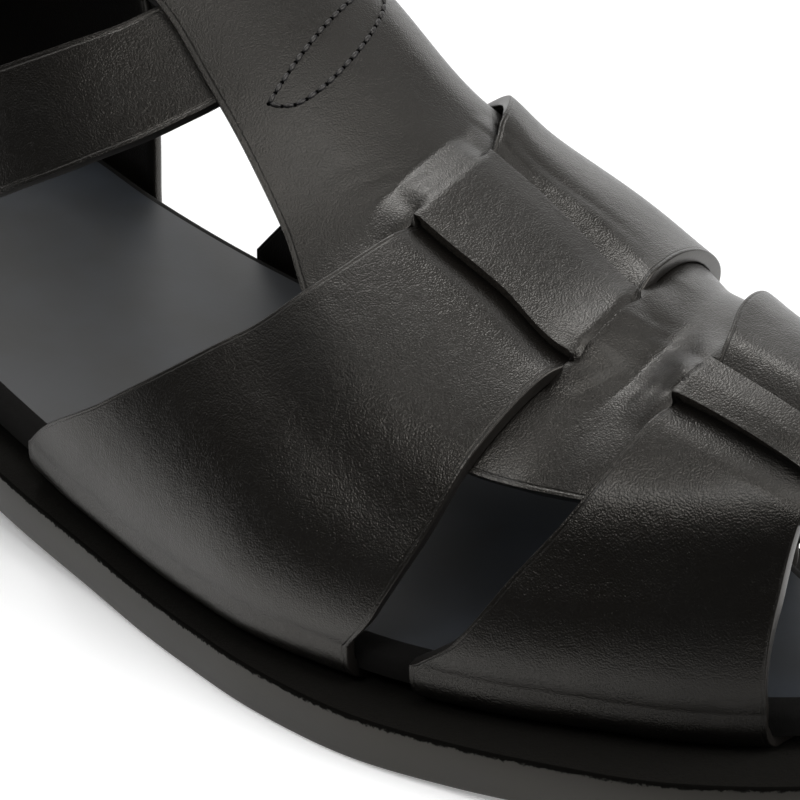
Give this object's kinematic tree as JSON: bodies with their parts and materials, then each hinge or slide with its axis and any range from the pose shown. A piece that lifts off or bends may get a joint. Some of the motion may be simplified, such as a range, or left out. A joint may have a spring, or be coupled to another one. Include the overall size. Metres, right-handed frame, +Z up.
{
  "type": "fisherman sandal",
  "caption": "Right-foot leather fisherman sandal: a spine strap woven with cross straps, open toe and sides, closed heel counter, buckled ankle strap, flat sole with a low heel.",
  "frame": {"origin": "middle of the object's box on the floor that the sandal stands on", "axes": "+X from heel to toe, +Y to the inner (big toe) side, +Z up"},
  "size_m": [0.2888, 0.0923, 0.1013],
  "materials": {
    "sole_leather": "burnished black sole leather, satin edge",
    "lift_rubber": "matte moulded rubber",
    "footbed_leather": "smooth matte lining leather",
    "strap_leather": "black pebbled leather, semi-gloss, with raw cut edges",
    "buckle_metal": "plated wire, polished"
  },
  "bodies": {
    "root": {"outsole": "sole_leather", "heel_block": "sole_leather", "heel_lift": "lift_rubber", "footbed": "footbed_leather", "upper": "strap_leather", "heel_counter": "strap_leather", "ankle_strap": "strap_leather", "buckle_tab": "strap_leather", "keeper": "strap_leather", "buckle_frame": "buckle_metal", "buckle_prong": "buckle_metal"}
  },
  "joints": []
}
